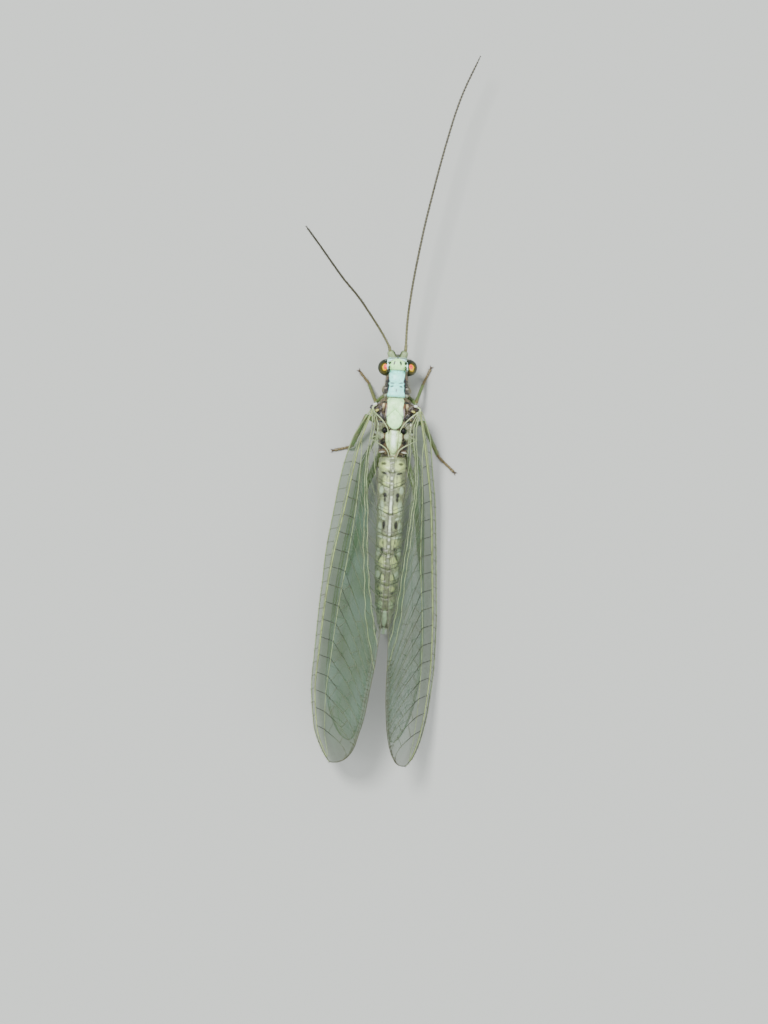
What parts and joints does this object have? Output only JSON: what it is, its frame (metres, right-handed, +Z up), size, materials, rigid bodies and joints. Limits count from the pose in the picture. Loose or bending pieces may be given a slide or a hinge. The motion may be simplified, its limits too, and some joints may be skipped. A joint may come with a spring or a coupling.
{
  "type": "green lacewing",
  "caption": "Life-size still model of a green lacewing at rest, wings folded like a roof over the body, feelers forward, standing on its feet.",
  "frame": {"origin": "on the floor, under the middle of the whole animal's box, feelers and wings included", "axes": "+X to the animal's left, +Y towards its tail, +Z up; it faces -Y"},
  "size_m": [0.0068, 0.0284, 0.0092],
  "materials": {
    "cuticle_pale": "waxy, pale green",
    "cuticle_side": "waxy, pale stripe over brown sides",
    "abdomen_skin": "soft, cream with grey marks",
    "eye_surface": "glossy, faceted",
    "feeler_skin": "ringed, finely haired",
    "leg_skin": "smooth, olive green",
    "foot_skin": "smooth, brown",
    "wing_membrane": "clear membrane with green veins"
  },
  "bodies": {
    "root": {"head": "cuticle_pale", "mouthparts": "cuticle_pale", "eye_left": "eye_surface", "eye_right": "eye_surface", "antenna_left_scape": "cuticle_pale", "antenna_left_flagellum": "feeler_skin", "antenna_right_scape": "cuticle_pale", "antenna_right_flagellum": "feeler_skin", "prothorax": "cuticle_side", "mesothorax": "cuticle_side", "metathorax": "cuticle_side", "abdomen_front": "abdomen_skin", "abdomen_middle": "abdomen_skin", "abdomen_tip": "abdomen_skin", "forewing_left": "wing_membrane", "forewing_right": "wing_membrane", "hindwing_left": "wing_membrane", "hindwing_right": "wing_membrane", "leg_fore_left_femur": "leg_skin", "leg_fore_left_tibia": "leg_skin", "leg_fore_left_tarsus": "foot_skin", "leg_fore_right_femur": "leg_skin", "leg_fore_right_tibia": "leg_skin", "leg_fore_right_tarsus": "foot_skin", "leg_mid_left_femur": "leg_skin", "leg_mid_left_tibia": "leg_skin", "leg_mid_left_tarsus": "foot_skin", "leg_mid_right_femur": "leg_skin", "leg_mid_right_tibia": "leg_skin", "leg_mid_right_tarsus": "foot_skin", "leg_hind_left_femur": "leg_skin", "leg_hind_left_tibia": "leg_skin", "leg_hind_left_tarsus": "foot_skin", "leg_hind_right_femur": "leg_skin", "leg_hind_right_tibia": "leg_skin", "leg_hind_right_tarsus": "foot_skin"}
  },
  "joints": []
}
